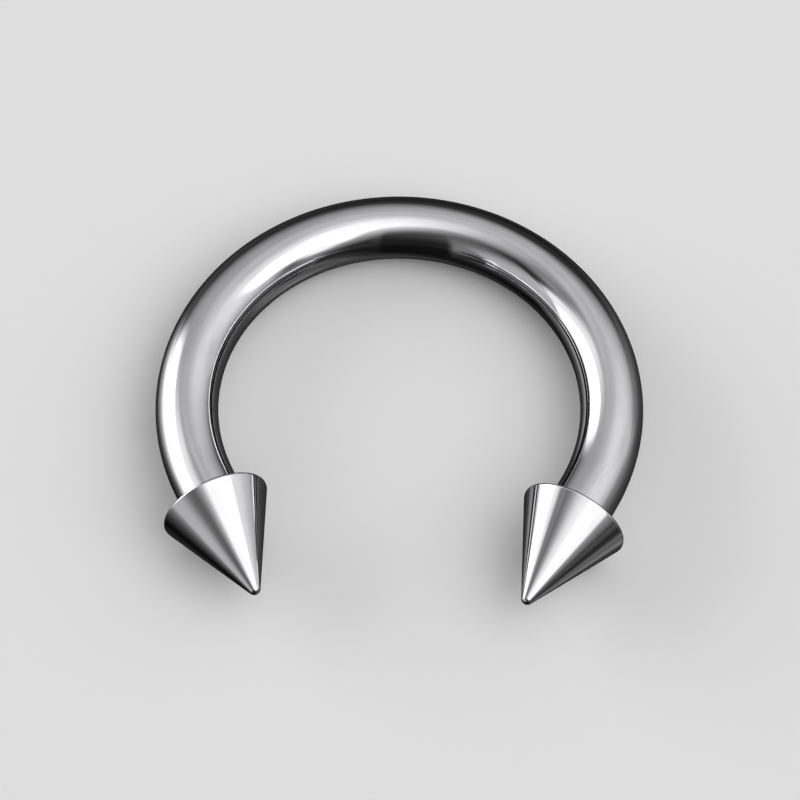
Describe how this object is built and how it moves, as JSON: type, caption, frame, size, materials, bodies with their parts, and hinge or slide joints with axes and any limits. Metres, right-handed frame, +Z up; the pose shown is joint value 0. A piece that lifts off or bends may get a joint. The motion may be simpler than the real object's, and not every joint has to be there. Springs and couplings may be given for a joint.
{
  "type": "horseshoe barbell",
  "caption": "Round steel bar bent into an open horseshoe, with a pointed cone screwed on each end, worn through a piercing.",
  "frame": {"origin": "middle of the barbell's outline, on the surface that it lies on", "axes": "+Z up from the surface, +X across the mouth towards the right cone, -Y out through the mouth between the cones"},
  "size_m": [0.0124, 0.0118, 0.0028],
  "materials": {
    "polished_steel": "mirror polished surgical steel"
  },
  "bodies": {
    "bar": {"bar": "polished_steel"},
    "cone_left": {"cone_left": "polished_steel"},
    "cone_right": {"cone_right": "polished_steel"}
  },
  "joints": [
    {"name": "cone_left_screw", "type": "slide", "parent": "bar", "child": "cone_left", "axis": [0.4226, -0.904, 0.0642], "range_m": [0, 0.0013]},
    {"name": "cone_right_screw", "type": "slide", "parent": "bar", "child": "cone_right", "axis": [-0.4226, -0.904, 0.0642], "range_m": [0, 0.0013]}
  ]
}
